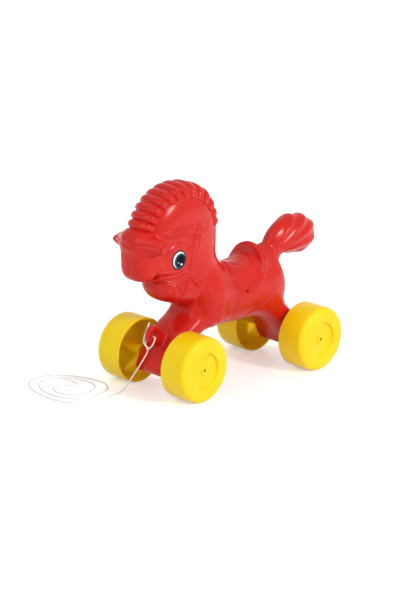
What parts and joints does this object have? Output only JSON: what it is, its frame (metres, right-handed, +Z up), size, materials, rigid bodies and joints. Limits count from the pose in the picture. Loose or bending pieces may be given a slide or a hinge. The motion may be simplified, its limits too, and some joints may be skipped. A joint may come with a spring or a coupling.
{
  "type": "pull along toy horse",
  "caption": "Toy horse of blown plastic with moulded mane, bridle, saddle and tail, rolling on cup wheels pressed on turning axles, with a pull cord tied through a tow eye.",
  "frame": {"origin": "on the floor, under the middle of the nose to tail length and of the wheel track", "axes": "+X forward towards the nose, +Y to the horse's left, +Z up from the floor the wheels stand on"},
  "size_m": [0.4329, 0.211, 0.2814],
  "materials": {
    "red_plastic": "satin blown polyethylene, with soft highlights on the moulded relief",
    "yellow_plastic": "moulded polyethylene, satin, slightly translucent",
    "axle_steel": "drawn steel rod",
    "eye_print": "printed sticker with a white ring, a blue iris and a black pupil",
    "cord": "white twisted cord"
  },
  "bodies": {
    "horse": {"body_shell": "red_plastic", "eye_left": "eye_print", "eye_right": "eye_print", "tow_loop": "cord", "pull_cord": "cord", "end_knot": "cord"},
    "front_wheelset": {"front_axle": "axle_steel", "wheel_front_left": "yellow_plastic", "wheel_front_right": "yellow_plastic"},
    "rear_wheelset": {"rear_axle": "axle_steel", "wheel_rear_left": "yellow_plastic", "wheel_rear_right": "yellow_plastic"}
  },
  "joints": [
    {"name": "front_axle_spin", "type": "hinge", "parent": "horse", "child": "front_wheelset", "pos_m": [0.103, 0, 0.044], "axis": [0, 1, 0], "continuous": true},
    {"name": "rear_axle_spin", "type": "hinge", "parent": "horse", "child": "rear_wheelset", "pos_m": [-0.127, 0, 0.044], "axis": [0, 1, 0], "continuous": true}
  ]
}
